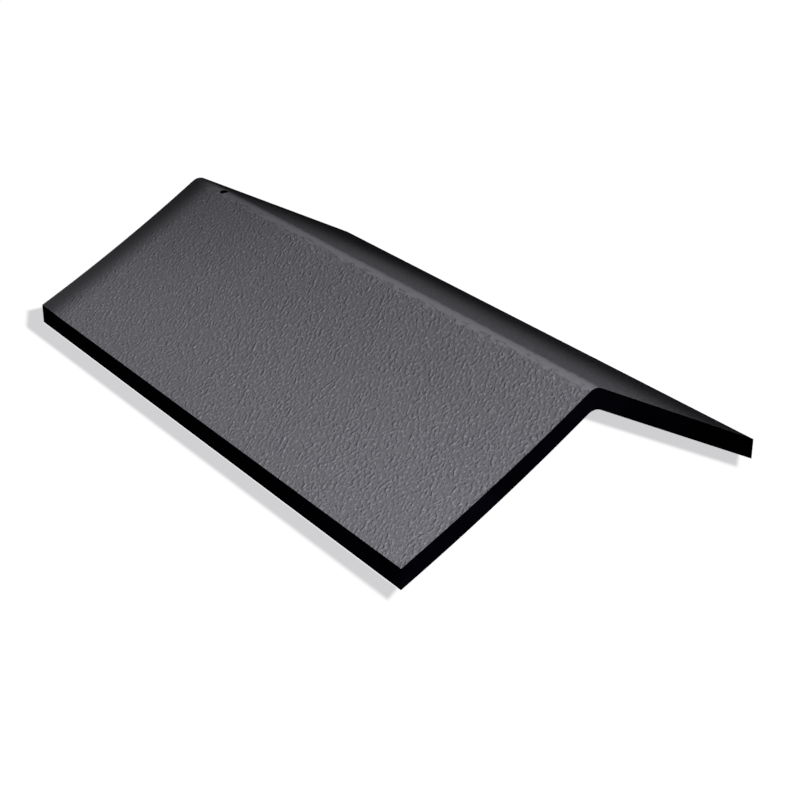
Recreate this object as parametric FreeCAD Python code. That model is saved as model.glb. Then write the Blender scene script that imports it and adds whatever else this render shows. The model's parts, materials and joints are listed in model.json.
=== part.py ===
import FreeCAD, Part
import math
import os

# A roof ridge cap: one moulded slate-look piece that straddles a roof's ridge, with a wing down each slope.
# Frame: +Y along the ridge, from the tail end that shows to the head end that the next cap laps over.
# +Z is up, and the slightly hollow left wing is towards -X. Origin: midway between the eaves and between
# the ends, level with the lower arrises that the cap stands on.

# Driving dimensions, in millimetres and degrees
LENGTH = 457.0              # along the ridge, tail end to head end
WING_WIDTH = 154.0          # down the slope, from where the two top faces would meet to the eave
SLOPE = 28.5                # fall of each wing below level
THICKNESS = 12.2            # of a wing, square to its slope
CROWN_RADIUS = 9.5          # over the ridge, the same on top and underneath
LEFT_WING_HOLLOW = 2.2      # how far the left wing sags inwards at mid width
NAIL_HOLE_DIAMETER = 6.4
NAIL_HOLE_FROM_HEAD = 39.0  # from the head end to the hole's centre

# Sizes that follow from them
slope = math.radians(SLOPE)
half_span = WING_WIDTH * math.cos(slope)
plumb_thickness = THICKNESS / math.cos(slope)
ridge_height = plumb_thickness + WING_WIDTH * math.sin(slope)
tail_y = -LENGTH / 2
head_y = LENGTH / 2

LEFT, RIGHT = -1, 1
NO_HOLLOW = 0.0


def section_point(x, z):
    """A point of the section, which is drawn in the plane of the tail end."""
    return FreeCAD.Vector(x, tail_y, z)


def wing_line(side, hollow, drop):
    """One wing's line from eave to ridge, lowered plumb from the top face by drop."""
    eave = section_point(side * half_span, plumb_thickness - drop)
    ridge = section_point(0, ridge_height - drop)
    if hollow == NO_HOLLOW:
        return Part.LineSegment(eave, ridge).toShape()
    inwards = FreeCAD.Vector(-side * math.sin(slope), 0, -math.cos(slope))
    sagged_middle = (eave + ridge) * 0.5 + inwards * hollow
    return Part.Arc(eave, sagged_middle, ridge).toShape()


def plumb_cut(side):
    """The upright cut of one eave."""
    x = side * half_span
    return Part.LineSegment(section_point(x, 0), section_point(x, plumb_thickness)).toShape()


def sharp_blank():
    """The V over the whole length, with its ridge still sharp on top and underneath."""
    outline = Part.Wire(Part.__sortEdges__([
        plumb_cut(LEFT),
        wing_line(LEFT, LEFT_WING_HOLLOW, 0),
        wing_line(RIGHT, NO_HOLLOW, 0),
        plumb_cut(RIGHT),
        wing_line(RIGHT, NO_HOLLOW, plumb_thickness),
        wing_line(LEFT, LEFT_WING_HOLLOW, plumb_thickness),
    ]))
    return Part.Face(outline).extrude(FreeCAD.Vector(0, LENGTH, 0))


def is_ridge_edge(edge):
    """True for the two edges that run from end to end on the cap's middle plane."""
    box = edge.BoundBox
    off_middle = max(abs(box.XMin), abs(box.XMax))
    return box.YLength > LENGTH / 2 and off_middle < plumb_thickness / 100


def rounded_blank():
    """The V with its crown rounded over, on top and underneath."""
    blank = sharp_blank()
    return blank.makeFillet(CROWN_RADIUS, [edge for edge in blank.Edges if is_ridge_edge(edge)])


def nail_hole():
    """The cutter for the plumb hole through the crown near the head end."""
    foot = FreeCAD.Vector(0, head_y - NAIL_HOLE_FROM_HEAD, 0)
    return Part.makeCylinder(NAIL_HOLE_DIAMETER / 2, ridge_height, foot)


ridge_cap = rounded_blank().cut(nail_hole())

os.makedirs("parts", exist_ok=True)
ridge_cap.exportStep("parts/ridge_cap.step")
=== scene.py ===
import json
import math

import bpy
from mathutils import Matrix, Vector


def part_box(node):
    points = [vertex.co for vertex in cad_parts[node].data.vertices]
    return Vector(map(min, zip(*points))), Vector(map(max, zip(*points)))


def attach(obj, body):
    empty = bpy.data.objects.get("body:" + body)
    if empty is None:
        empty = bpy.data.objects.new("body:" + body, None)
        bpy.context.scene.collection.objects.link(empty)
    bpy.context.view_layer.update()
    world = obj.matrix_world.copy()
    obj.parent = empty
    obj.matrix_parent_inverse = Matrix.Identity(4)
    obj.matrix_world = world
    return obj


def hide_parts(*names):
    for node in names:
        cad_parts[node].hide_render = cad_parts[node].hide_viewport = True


# The looks of a moulded slate roof ridge cap: a V of grey grained composite with a smooth rounded crown,
# black at its cut ends and eaves. Metres, +Y along the ridge from the tail end to the head end, +Z up.
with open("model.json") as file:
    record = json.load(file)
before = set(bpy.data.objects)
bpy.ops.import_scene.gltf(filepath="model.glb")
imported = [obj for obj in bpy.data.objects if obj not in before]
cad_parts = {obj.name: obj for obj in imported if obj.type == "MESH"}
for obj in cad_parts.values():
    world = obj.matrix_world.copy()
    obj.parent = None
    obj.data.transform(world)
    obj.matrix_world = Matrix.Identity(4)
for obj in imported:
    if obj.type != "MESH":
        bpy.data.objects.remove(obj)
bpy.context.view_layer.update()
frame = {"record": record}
mounts = {mount["name"]: mount for mount in frame["record"]["mounts"]}

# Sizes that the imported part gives
low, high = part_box("ridge_cap")
LENGTH = high.y - low.y
HALF_SPAN = high.x
SLOPE = math.atan2(mounts["right_wing_lap"]["axis"][0], mounts["right_wing_lap"]["axis"][2])
PLUMB_THICKNESS = mounts["right_wing_lap"]["pos_m"][2] - mounts["right_wing_underside"]["pos_m"][2]
NAIL_HOLE = mounts["nail_hole"]["pos_m"]
NAIL_HOLE_RADIUS = mounts["nail_hole"]["dims"]["r_mm"] / 1000

# Sizes of the section that the record doesn't give
CROWN_RADIUS = 0.0095
LEFT_WING_HOLLOW = 0.0022

# The section of the cap, as seen from the tail end: x to the right, z up
RIDGE = Vector((0, PLUMB_THICKNESS + HALF_SPAN * math.tan(SLOPE)))
LEFT_EAVE = Vector((-HALF_SPAN, PLUMB_THICKNESS))
RIGHT_EAVE = Vector((HALF_SPAN, PLUMB_THICKNESS))

# The mesh
MESH_STEP = 0.00125
LONG_EDGE = MESH_STEP * 2
NEAR = MESH_STEP / 10
SAME_PLACE = MESH_STEP / 100
CROWN_STEPS = 8
WING_STEPS = 24
WING_CUTS = 4
LENGTH_STEPS = 5
NAIL_HOLE_SIDES = 48
UPWARD = 0.3
SMOOTH_BELOW = math.radians(35)
TOP_GROUP = "top"

# The moulded grain, whose strings run up to the ridge and towards the head end.
# Each noise has its length along the strings, its width across them, and a layer of its own.
GRAIN_TURN = math.radians(58)
WING_LAYERS = 9.0
SWELL = (0.0090, 0.0055, 2.0)
PATCHES = (0.011, 0.011, 5.0)
STRINGS = (0.0029, 0.0022, 8.0)
FINE = (0.0013, 0.0009, 11.0)
CLOUDS = (0.050, 0.035, 14.0)
SPECKS = (0.0019, 0.0019, 17.0)
RAGS = (0.007, 0.007, 20.0)

SWELL_DEPTH = 0.00008
PATCH_RISE = (0.35, 0.65)
THIN_PATCH = 0.5
STRING_DETAIL = 0.7
STRING_WAVER = 0.25
STRING_RISE = (0.40, 0.80)
STRING_HEIGHT = 0.000704
SPECK_RISE = (0.55, 0.80)
SPECK_HEIGHT = 0.000224
FINE_HEIGHT = 0.000024

# Where the grain ends beside the ridge, how far that edge wanders, and where it ends before the head
CROWN_BAND = (0.0020, 0.0054)
RAG_DEPTH = 0.009
HEAD_BAND = (0.010, 0.026)

# Colours, as light reflected
SLATE_GREY = (0.120, 0.118, 0.131, 1)
SLATE_WORN = (0.149, 0.147, 0.162, 1)
SPECK_GREY = (0.200, 0.197, 0.215, 1)
# Colour of the smooth crown band, painted paler than the slopes as a painted highlight along the crown
CROWN_SKIN_PAINTED_HIGHLIGHT = (0.181, 0.178, 0.196, 1)
CUT_BLACK = (0.0008, 0.0007, 0.0016, 1)
CUT_DUSTY = (0.0015, 0.0013, 0.0027, 1)
WHITE = (1, 1, 1, 1)
BLACK = (0, 0, 0, 1)

# How far the strings, the clouds and the fine noise wear the slate pale
STRING_WEAR = 0.7
CLOUD_WEAR = 0.3
FINE_WEAR = 0.2
WORN_RISE = (0.1, 0.9)

# Roughness
SLATE_ROUGHNESS = 0.86
FINE_ROUGHNESS = 0.12
STRING_POLISH = 0.05
CUT_ROUGHNESS = 0.6
PIT_ROUGHNESS = 0.2

# The black faces' dust and pits
DUST_SIZE = 0.02
DUST_RISE = (0.35, 0.75)
PIT_SIZE = 0.0016
PIT_HEIGHT = 0.00032

# The camera
CAMERA_AZIMUTH = math.radians(-35.4)
CAMERA_ELEVATION = math.radians(25.71)
CAMERA_ROLL = math.radians(0.13)
CAMERA_PLACE = (-0.61088, -0.89633, 0.51070)
CAMERA_LENS = 78.72
CAMERA_SENSOR = 36

# The studio
FLOOR_SIZE = 12
FLOOR_WHITE = (0.8, 0.8, 0.8, 1)
FLOOR_DULL = (0.04, 0.04, 0.04, 1)
FLOOR_ROUGHNESS = 0.9
FILL = (0.024, 0.024, 0.025, 1)
BEAM_DISTANCE = 12
CORNER_LAMP = (-0.279, -0.494, 0.346)
CORNER_AIM = (-0.05, -0.05, 0.05)
FLOOR_LAMP = (0.169, -0.090, 0.236)
FLOOR_LAMP_RADIUS = 0.026

# The cap's painted shadow on the floor: its painted grey, and where the painted outline's edges lie, how
# they slant and how soft they are
PAINTED_SHADOW_GREY = (0.622, 0.617, 0.633, 1)
SHADE_JOIN = 0.001
SHADE_BLUR = 0.0022
EAVE_SHADE_WIDTH = 0.0131
EAVE_SHADE_SPREAD = 0.0066
HEAD_SHADE_BAND = (0.030, 0.024)
HEAD_SHADE_RIGHT = 0.006
LEFT_CORNER_WIDTH = 0.0139
LEFT_CORNER_SLANT = 0.49
LEFT_CORNER_BLUR = 0.0025
TAIL_CORNER_GAP = 0.003
TAIL_CORNER_SLANT = 0.592
WING_SHADE_START = 0.0468
WING_SHADE_SLANT = 0.317
WING_SHADE_BLUR = 0.0033
RIGHT_CORNER_START = 0.3334
RIGHT_CORNER_SLANT = 0.853
RIGHT_CORNER_BLUR = 0.0023
HIDDEN_SLANT = 0.465
HIDDEN_BAND = (0.003, 0.012)


class Value:
    """A value in a node tree. Python's operators on it add Math nodes."""

    def __init__(self, graph, socket):
        self.graph = graph
        self.socket = socket

    def math(self, operation, *operands):
        inputs = dict(enumerate(operands))
        return self.graph.node("ShaderNodeMath", {"operation": operation}, inputs).value()

    def __add__(self, other):
        return self.math("ADD", self, other)

    def __sub__(self, other):
        return self.math("SUBTRACT", self, other)

    def __rsub__(self, other):
        return self.math("SUBTRACT", other, self)

    def __mul__(self, other):
        return self.math("MULTIPLY", self, other)

    def __truediv__(self, other):
        return self.math("DIVIDE", self, other)

    def __abs__(self):
        return self.math("ABSOLUTE", self)

    __radd__ = __add__
    __rmul__ = __mul__

    def at_least(self, other):
        return self.math("MAXIMUM", self, other)

    def rise(self, start, end):
        """0 at start, 1 at end, smooth between."""
        settings = {"interpolation_type": "SMOOTHSTEP"}
        inputs = {"Value": self, "From Min": start, "From Max": end}
        return self.graph.node("ShaderNodeMapRange", settings, inputs).value()

    def past_edge(self, blur):
        """1 above zero, 0 below, blurred to both sides."""
        return self.rise(-blur, blur)


class Node:
    """A node that has been added, whose outputs are read by name."""

    def __init__(self, graph, node):
        self.graph = graph
        self.node = node

    def value(self, name=0):
        return Value(self.graph, self.node.outputs[name])


class Graph:
    """A node tree that is written as expressions."""

    def __init__(self, tree):
        self.tree = tree
        tree.nodes.clear()

    def node(self, kind, settings=None, inputs=None):
        node = self.tree.nodes.new(kind)
        for key, setting in (settings or {}).items():
            setattr(node, key, setting)
        for key, given in (inputs or {}).items():
            if isinstance(given, Value):
                self.tree.links.new(given.socket, node.inputs[key])
            else:
                node.inputs[key].default_value = given
        return Node(self, node)

    def object_place(self):
        return self.node("ShaderNodeTexCoord").value("Object")

    def xyz(self, vector):
        parts = self.node("ShaderNodeSeparateXYZ", inputs={0: vector})
        return parts.value("X"), parts.value("Y"), parts.value("Z")

    def noise(self, x, y, z, detail=0.0, distortion=0.0):
        """Soft noise from 0 to 1 that swells about once a unit."""
        place = self.node("ShaderNodeCombineXYZ", inputs={"X": x, "Y": y, "Z": z}).value()
        inputs = {"Vector": place, "Scale": 1.0, "Detail": detail, "Distortion": distortion}
        return self.node("ShaderNodeTexNoise", inputs=inputs).value("Fac")

    def mix_colours(self, share, first, second):
        inputs = {0: share, 6: first, 7: second}
        return self.node("ShaderNodeMix", {"data_type": "RGBA"}, inputs).value(2)

    def bump(self, height):
        """Bends the normal by a height in metres."""
        inputs = {"Height": height, "Strength": 1.0, "Distance": 1.0}
        return self.node("ShaderNodeBump", inputs=inputs).value("Normal")

    def end_in_matte(self, inputs):
        """Ends a material in a surface without gloss."""
        inputs = {"Specular IOR Level": 0.0, **inputs}
        shader = self.node("ShaderNodeBsdfPrincipled", inputs=inputs)
        self.node("ShaderNodeOutputMaterial", inputs={"Surface": shader.value("BSDF")})

    def end_in_light(self, strength):
        """Ends a lamp's nodes in its light."""
        light = self.node("ShaderNodeEmission", inputs={"Strength": strength}).value("Emission")
        self.node("ShaderNodeOutputLight", inputs={"Surface": light})


class Grain:
    """The moulded grain over both slopes, for the mesh and for the material alike."""

    def __init__(self, graph, place):
        self.graph = graph
        x, y, _ = graph.xyz(place)
        down = abs(x) / math.cos(SLOPE)
        self.with_strings = y * math.cos(GRAIN_TURN) - down * math.sin(GRAIN_TURN)
        self.across_strings = y * math.sin(GRAIN_TURN) + down * math.cos(GRAIN_TURN)
        self.wing = x.rise(-CROWN_RADIUS, CROWN_RADIUS) * WING_LAYERS
        ragged = (self.field(RAGS) - 0.5) * RAG_DEPTH
        self.off_crown = (abs(x) + ragged).rise(*CROWN_BAND)
        self.cover = self.off_crown * (LENGTH / 2 - y).rise(*HEAD_BAND)

    def field(self, noise, **settings):
        """One of the grain's noises, drawn out along the strings."""
        length, width, layer = noise
        return self.graph.noise(self.with_strings / length, self.across_strings / width,
                                self.wing + layer, **settings)

    def swell(self):
        return self.field(SWELL)

    def strings(self):
        """Raised strings with flat places between, thinner in some patches."""
        patches = self.field(PATCHES).rise(*PATCH_RISE) * (1 - THIN_PATCH) + THIN_PATCH
        wavy = self.field(STRINGS, detail=STRING_DETAIL, distortion=STRING_WAVER)
        return wavy.rise(*STRING_RISE) * patches * self.cover

    def specks(self):
        return self.field(SPECKS).rise(*SPECK_RISE) * self.cover


def deselect_all():
    for item in bpy.context.selected_objects:
        item.select_set(False)


def make_active(piece):
    deselect_all()
    piece.select_set(True)
    bpy.context.view_layer.objects.active = piece


def apply_modifier(piece, kind, name, **settings):
    """Adds one modifier, sets it and applies it."""
    make_active(piece)
    modifier = piece.modifiers.new(name, kind)
    for key, setting in settings.items():
        setattr(modifier, key, setting)
    bpy.ops.object.modifier_apply(modifier=modifier.name)


def edit_selected(piece, mode, test):
    """Enters edit mode with the vertices, edges or faces that pass the test selected."""
    make_active(piece)
    bpy.ops.object.mode_set(mode="EDIT")
    bpy.ops.mesh.select_mode(type=mode)
    bpy.ops.mesh.select_all(action="DESELECT")
    bpy.ops.object.mode_set(mode="OBJECT")
    mesh = piece.data
    for item in {"VERT": mesh.vertices, "EDGE": mesh.edges, "FACE": mesh.polygons}[mode]:
        item.select = test(item)
    bpy.ops.object.mode_set(mode="EDIT")


def leave_edit_mode():
    bpy.ops.object.mode_set(mode="OBJECT")


def faces_up(face):
    return face.normal.z > UPWARD


def section_arcs():
    """The hollow left wing's circle and the crown's, which touches it and the straight right wing."""
    left_in = Vector((math.sin(SLOPE), -math.cos(SLOPE)))
    right_out = Vector((math.sin(SLOPE), math.cos(SLOPE)))
    right_down = Vector((math.cos(SLOPE), -math.sin(SLOPE)))
    half_chord = (RIDGE - LEFT_EAVE).length / 2
    wing_radius = (half_chord ** 2 + LEFT_WING_HOLLOW ** 2) / (2 * LEFT_WING_HOLLOW)
    wing_centre = (RIDGE + LEFT_EAVE) / 2 + left_in * (LEFT_WING_HOLLOW - wing_radius)
    to_crown = RIDGE - right_out * CROWN_RADIUS - wing_centre
    along = to_crown.dot(right_down)
    reach = wing_radius + CROWN_RADIUS
    slide = math.sqrt(along ** 2 - to_crown.length_squared + reach ** 2) - along
    crown_centre = wing_centre + to_crown + right_down * slide
    crown_right = crown_centre + right_out * CROWN_RADIUS
    crown_left = wing_centre + (crown_centre - wing_centre).normalized() * wing_radius
    return wing_centre, crown_centre, crown_left, crown_right


def turn(start, end, centre):
    """The angle from start to end about centre, as spin counts it about +Y."""
    a = start - centre
    b = end - centre
    return math.atan2(b.y * a.x - b.x * a.y, a.dot(b))


def spin_edge(piece, start, end, centre, steps):
    """Sweeps the lengthwise edge at one section point about a centre, to another section point."""

    def on_edge(vertex):
        return abs(vertex.co.x - start.x) < NEAR and abs(vertex.co.z - start.y) < NEAR

    edit_selected(piece, "VERT", on_edge)
    bpy.ops.mesh.spin(steps=steps, angle=turn(start, end, centre), center=(centre.x, 0, centre.y),
                      axis=(0, 1, 0))
    leave_edit_mode()


def solid_v():
    """The plain V: the right wing's sheet is spun over the crown and down the left wing, then deepened."""
    wing_centre, crown_centre, crown_left, crown_right = section_arcs()
    middle = (crown_right + RIGHT_EAVE) / 2
    deselect_all()
    bpy.ops.mesh.primitive_plane_add(size=1, location=(middle.x, 0, middle.y), rotation=(0, SLOPE, 0))
    piece = bpy.context.object
    piece.name = "grained_ridge_cap"
    piece.scale = ((RIGHT_EAVE - crown_right).length, LENGTH, 1)
    bpy.ops.object.transform_apply(location=True, rotation=True, scale=True)
    spin_edge(piece, crown_right, crown_left, crown_centre, CROWN_STEPS)
    spin_edge(piece, crown_left, LEFT_EAVE, wing_centre, WING_STEPS)
    bpy.ops.object.mode_set(mode="EDIT")
    bpy.ops.mesh.select_all(action="SELECT")
    bpy.ops.mesh.remove_doubles(threshold=SAME_PLACE)
    bpy.ops.mesh.extrude_region_move(TRANSFORM_OT_translate={"value": (0, 0, -PLUMB_THICKNESS)})
    bpy.ops.mesh.select_all(action="SELECT")
    bpy.ops.mesh.normals_make_consistent(inside=False)
    leave_edit_mode()
    return piece


def cut_top_edges(piece, cuts, belongs):
    """Cuts the edges of the top faces whose ends pass the test. The faces beside them follow."""
    vertices = piece.data.vertices
    top = {key for face in piece.data.polygons if faces_up(face) for key in face.edge_keys}

    def passes(edge):
        start, end = (vertices[index].co for index in edge.vertices)
        return edge.key in top and belongs(start, end)

    edit_selected(piece, "EDGE", passes)
    bpy.ops.mesh.subdivide(number_cuts=cuts)
    leave_edit_mode()


def refine_top(piece):
    """A fine grid on the top faces alone. The ends, eaves and underside stay plain."""

    def down_a_wing(start, end):
        return abs(start.y - end.y) < MESH_STEP and abs(start.x - end.x) > LONG_EDGE

    def down_right_wing(start, end):
        return down_a_wing(start, end) and min(start.x, end.x) > 0

    def lengthwise(start, end):
        return abs(start.y - end.y) > LONG_EDGE

    cut_top_edges(piece, WING_STEPS - 1, down_right_wing)
    cut_top_edges(piece, WING_CUTS, down_a_wing)
    cut_top_edges(piece, LENGTH_STEPS - 1, lengthwise)
    cut_top_edges(piece, round(LENGTH / LENGTH_STEPS / MESH_STEP) - 1, lengthwise)


def mark_top(piece):
    """Keeps the top faces as a vertex group, which the grain is pressed into."""
    edit_selected(piece, "FACE", faces_up)
    bpy.ops.object.vertex_group_add()
    bpy.ops.object.vertex_group_assign()
    leave_edit_mode()
    piece.vertex_groups.active.name = TOP_GROUP


def press_swell(piece):
    """Sinks the top faces plumb by the grain's swell, never above the plain solid."""
    tree = bpy.data.node_groups.new("pressed_swell", "GeometryNodeTree")
    tree.interface.new_socket("Geometry", in_out="INPUT", socket_type="NodeSocketGeometry")
    tree.interface.new_socket("Geometry", in_out="OUTPUT", socket_type="NodeSocketGeometry")
    graph = Graph(tree)
    blank = graph.node("NodeGroupInput").value("Geometry")
    grain = Grain(graph, graph.node("GeometryNodeInputPosition").value("Position"))
    top = graph.node("GeometryNodeInputNamedAttribute", {"data_type": "FLOAT"}, {"Name": TOP_GROUP})
    sunk = (grain.swell() - 1) * grain.cover * top.value("Attribute") * SWELL_DEPTH
    offset = graph.node("ShaderNodeCombineXYZ", inputs={"Z": sunk}).value()
    pressed = graph.node("GeometryNodeSetPosition", inputs={"Geometry": blank, "Offset": offset})
    graph.node("NodeGroupOutput", inputs={"Geometry": pressed.value("Geometry")})
    apply_modifier(piece, "NODES", "pressed_swell", node_group=tree)


def drill_nail_hole(piece):
    """Drills the plumb nail hole through the crown."""
    deselect_all()
    bpy.ops.mesh.primitive_cylinder_add(vertices=NAIL_HOLE_SIDES, radius=NAIL_HOLE_RADIUS,
                                        depth=high.z - low.z, location=NAIL_HOLE)
    drill = bpy.context.object
    bpy.ops.object.transform_apply(location=True, rotation=True, scale=True)
    apply_modifier(piece, "BOOLEAN", "nail_hole", operation="DIFFERENCE", solver="EXACT", object=drill)
    bpy.data.objects.remove(drill)


def finish_faces(piece, top_material, cut_material):
    """The grained material on the top faces and the black one on all the others."""
    materials = (cut_material, top_material)
    piece.data.materials.clear()
    for material in materials:
        piece.data.materials.append(material)
    edit_selected(piece, "FACE", faces_up)
    piece.active_material_index = materials.index(top_material)
    bpy.ops.object.material_slot_assign()
    leave_edit_mode()
    make_active(piece)
    bpy.ops.object.shade_smooth_by_angle(angle=SMOOTH_BELOW)


def new_material(name):
    material = bpy.data.materials.new(name)
    material.use_nodes = True
    return material, Graph(material.node_tree)


def slate_material():
    """Slate-grey composite with the moulded grain, and a smooth skin over the crown that is painted paler,
    a painted highlight along the crown.
    """
    material, graph = new_material("slate_composite_grained")
    grain = Grain(graph, graph.object_place())
    strings = grain.strings()
    specks = grain.specks()
    fine = grain.field(FINE, detail=2.0)
    clouds = grain.field(CLOUDS, detail=2.0)
    worn = strings * STRING_WEAR + clouds * CLOUD_WEAR + fine * FINE_WEAR
    slate = graph.mix_colours(worn.rise(*WORN_RISE), SLATE_GREY, SLATE_WORN)
    speckled = graph.mix_colours(specks, slate, SPECK_GREY)
    height = strings * STRING_HEIGHT + specks * SPECK_HEIGHT + fine * FINE_HEIGHT
    graph.end_in_matte({
        # The crown band's paler colour is a painted highlight
        "Base Color": graph.mix_colours(grain.off_crown, CROWN_SKIN_PAINTED_HIGHLIGHT, speckled),
        "Roughness": SLATE_ROUGHNESS + fine * FINE_ROUGHNESS - strings * STRING_POLISH,
        "Normal": graph.bump(height),
    })
    return material


def cut_material():
    """The near-black of the ends, the eaves, the underside and the nail hole, faintly dusty."""
    material, graph = new_material("slate_composite_black")
    x, y, z = graph.xyz(graph.object_place())
    dust = graph.noise(x / DUST_SIZE, y / DUST_SIZE, z / DUST_SIZE, detail=3.0)
    pits = graph.noise(x / PIT_SIZE, y / PIT_SIZE, z / PIT_SIZE, detail=2.0)
    graph.end_in_matte({
        "Base Color": graph.mix_colours(dust.rise(*DUST_RISE), CUT_BLACK, CUT_DUSTY),
        "Roughness": CUT_ROUGHNESS + pits * PIT_ROUGHNESS,
        "Normal": graph.bump(pits * PIT_HEIGHT),
    })
    return material


def seen_directly(graph):
    """1 for what the camera sees, straight or mirrored."""
    rays = graph.node("ShaderNodeLightPath")
    seen = rays.value("Is Camera Ray").at_least(rays.value("Is Glossy Ray"))
    return seen.at_least(rays.value("Is Transmission Ray"))


def painted_shadow_beside_cap(x, y):
    """Where the painted shadow outline lets the cap's shadow show on the floor, along the left eave and
    behind the head end.
    """
    out = -HALF_SPAN - x
    past_head = y - LENGTH / 2
    past_tail = -LENGTH / 2 - y
    beside = out.rise(0, SHADE_JOIN)
    behind = (past_head.rise(-SHADE_JOIN, 0) * past_head.rise(*HEAD_SHADE_BAND)
              * x.rise(HALF_SPAN, HALF_SPAN - HEAD_SHADE_RIGHT))
    outer_side = (EAVE_SHADE_WIDTH + y * EAVE_SHADE_SPREAD - out).past_edge(SHADE_BLUR)
    head_corner = (LEFT_CORNER_WIDTH - past_head * LEFT_CORNER_SLANT - out).past_edge(LEFT_CORNER_BLUR)
    tail_corner = (out * TAIL_CORNER_SLANT - TAIL_CORNER_GAP - past_tail).past_edge(SHADE_BLUR)
    return beside.at_least(behind) * outer_side * head_corner * tail_corner


def painted_shadow_under_cap(x, y):
    """Where the painted shadow outline lets it show under the cap: all but a wedge at the tail end, which
    stays white.
    """
    right_side = (x + y * WING_SHADE_SLANT - WING_SHADE_START).past_edge(WING_SHADE_BLUR)
    right_corner = (y - x * RIGHT_CORNER_SLANT + RIGHT_CORNER_START).past_edge(RIGHT_CORNER_BLUR)
    hidden = (y + LENGTH / 2 - (x + HALF_SPAN) * HIDDEN_SLANT).rise(*HIDDEN_BAND)
    covered = (abs(x).rise(HALF_SPAN, HALF_SPAN - SHADE_JOIN)
               * y.rise(LENGTH / 2 + SHADE_JOIN, LENGTH / 2))
    return (right_side * right_corner).at_least(hidden) * covered


def floor_material():
    """Pale floor that is seen white, with the cap's shadow painted in: inside a painted outline it shows a
    painted grey wherever the floor lamp's real shadow falls, and outside the outline it stays white.
    """
    material, graph = new_material("pale_floor")
    x, y, _ = graph.xyz(graph.object_place())
    # Painted shadow: the outline inside which the floor shows the cap's shadow
    painted_shadow_outline = painted_shadow_beside_cap(x, y).at_least(painted_shadow_under_cap(x, y))
    seen = seen_directly(graph)
    graph.end_in_matte({
        "Base Color": graph.mix_colours(seen * painted_shadow_outline, FLOOR_DULL, FLOOR_WHITE),
        "Roughness": FLOOR_ROUGHNESS,
        # Painted shadow grey inside the outline, white outside
        "Emission Color": graph.mix_colours(seen, BLACK, graph.mix_colours(painted_shadow_outline, WHITE, PAINTED_SHADOW_GREY)),
        "Emission Strength": 1.0,
    })
    return material


def lay_floor():
    deselect_all()
    bpy.ops.mesh.primitive_plane_add(size=FLOOR_SIZE)
    floor = bpy.context.object
    floor.name = "floor"
    floor.data.materials.append(floor_material())
    return floor


def light_world():
    """A white surround, of which the cap takes only a weak fill."""
    world = bpy.data.worlds.new("studio")
    bpy.context.scene.world = world
    world.use_nodes = True
    graph = Graph(world.node_tree)
    colour = graph.mix_colours(seen_directly(graph), FILL, WHITE)
    surround = graph.node("ShaderNodeBackground", inputs={"Color": colour, "Strength": 1.0})
    graph.node("ShaderNodeOutputWorld", inputs={"Surface": surround.value("Background")})


def hang_lamp(name, kind, place, rotation, lit_piece, **settings):
    """Hangs a lamp that lights one piece and isn't seen itself."""
    deselect_all()
    bpy.ops.object.light_add(type=kind, location=place, rotation=rotation)
    lamp = bpy.context.object
    lamp.name = name
    for key, setting in settings.items():
        setattr(lamp.data, key, setting)
    lamp.visible_camera = False
    lamp.visible_glossy = False
    lit = bpy.data.collections.new(name + "_lights")
    lit.objects.link(lit_piece)
    lamp.light_linking.receiver_collection = lit
    return lamp


def hang_point_lamp(name, place, rotation, lit_piece, radius, power):
    """Hangs a round lamp, whose light its nodes then shape."""
    lamp = hang_lamp(name, "POINT", place, rotation, lit_piece, shadow_soft_size=radius,
                     energy=4 * math.pi ** 2 * power)
    lamp.data.use_nodes = True
    return Graph(lamp.data.node_tree)


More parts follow.
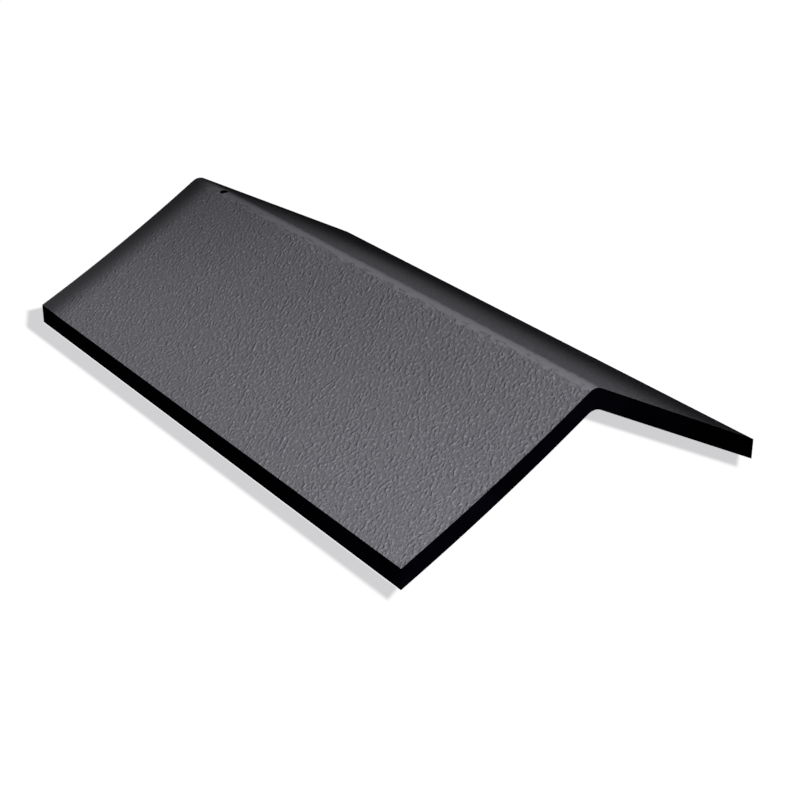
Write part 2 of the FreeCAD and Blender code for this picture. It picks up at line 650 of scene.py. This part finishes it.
def hang_beam(name, lit_piece, toward, right, head, level, fall):
    """Hangs a far lamp behind a soft mask, so that its light fades out to the right of the ridge and before
    the head end.

    right and head are where each fade is half through and half its width, square to the beam, counted from
    the top of the ridge at mid length. fall is the share that is lost between the left eave and the ridge.
    """
    back = Vector(toward).normalized()
    along = Vector((0, 1, 0)) - back * back.y
    along.normalize()
    across = along.cross(back)
    turned = Matrix((across, along, back)).transposed().to_euler()
    place = Vector((0, 0, high.z)) + back * BEAM_DISTANCE
    graph = hang_point_lamp(name, place, turned, lit_piece, radius=0, power=level * BEAM_DISTANCE ** 2)
    ray = graph.node("ShaderNodeTexCoord").value("Normal")
    x, y, z = graph.xyz(ray)
    across_beam = x / z * -BEAM_DISTANCE
    along_beam = y / z * -BEAM_DISTANCE
    graph.end_in_light(across_beam.rise(right[0] + right[1], right[0] - right[1])
                       * along_beam.rise(head[0] + head[1], head[0] - head[1])
                       * (1 - across_beam.rise(-HALF_SPAN, 0) * fall))


def hang_floor_lamp(lit_piece, level):
    """Lights the floor evenly from over the right wing, so that the cap's shadow falls to its left; it
    shows only inside the floor's painted shadow outline.
    """
    graph = hang_point_lamp("floor_lamp", FLOOR_LAMP, (0, 0, 0), lit_piece, FLOOR_LAMP_RADIUS, level)
    even = graph.node("ShaderNodeLightFalloff", inputs={"Strength": 1.0}).value("Constant")
    graph.end_in_light(even)


def aimed(place, aim):
    return (Vector(aim) - Vector(place)).to_track_quat("-Z", "Y").to_euler()


def set_camera():
    """The photograph's view: from the tail end's left, a little above."""
    deselect_all()
    turned = (Matrix.Rotation(CAMERA_AZIMUTH, 3, "Z")
              @ Matrix.Rotation(math.pi / 2 - CAMERA_ELEVATION, 3, "X")
              @ Matrix.Rotation(CAMERA_ROLL, 3, "Z"))
    bpy.ops.object.camera_add(location=CAMERA_PLACE, rotation=turned.to_euler())
    camera = bpy.context.object
    camera.name = "photo_camera"
    camera.data.lens = CAMERA_LENS
    camera.data.sensor_width = CAMERA_SENSOR
    bpy.context.scene.camera = camera


cap = solid_v()
refine_top(cap)
mark_top(cap)
press_swell(cap)
drill_nail_hole(cap)
finish_faces(cap, slate_material(), cut_material())
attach(cap, "root")
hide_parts("ridge_cap")

floor = lay_floor()
light_world()
hang_beam("key_lamp", cap, toward=(-0.563, -1.0, 1),
          right=(0.0012, 0.0088), head=(0.1557, 0.011), level=0.74, fall=0.32)
hang_beam("tail_lamp", cap, toward=(0.439, -1.256, 1),
          right=(0.0737, 0.061), head=(0.0866, 0.0704), level=0.54, fall=0)
hang_lamp("corner_lamp", "AREA", CORNER_LAMP, aimed(CORNER_LAMP, CORNER_AIM), cap, size=0.3, energy=1.35)
hang_floor_lamp(floor, level=1.1)
set_camera()

bpy.context.scene.view_settings.view_transform = "Standard"
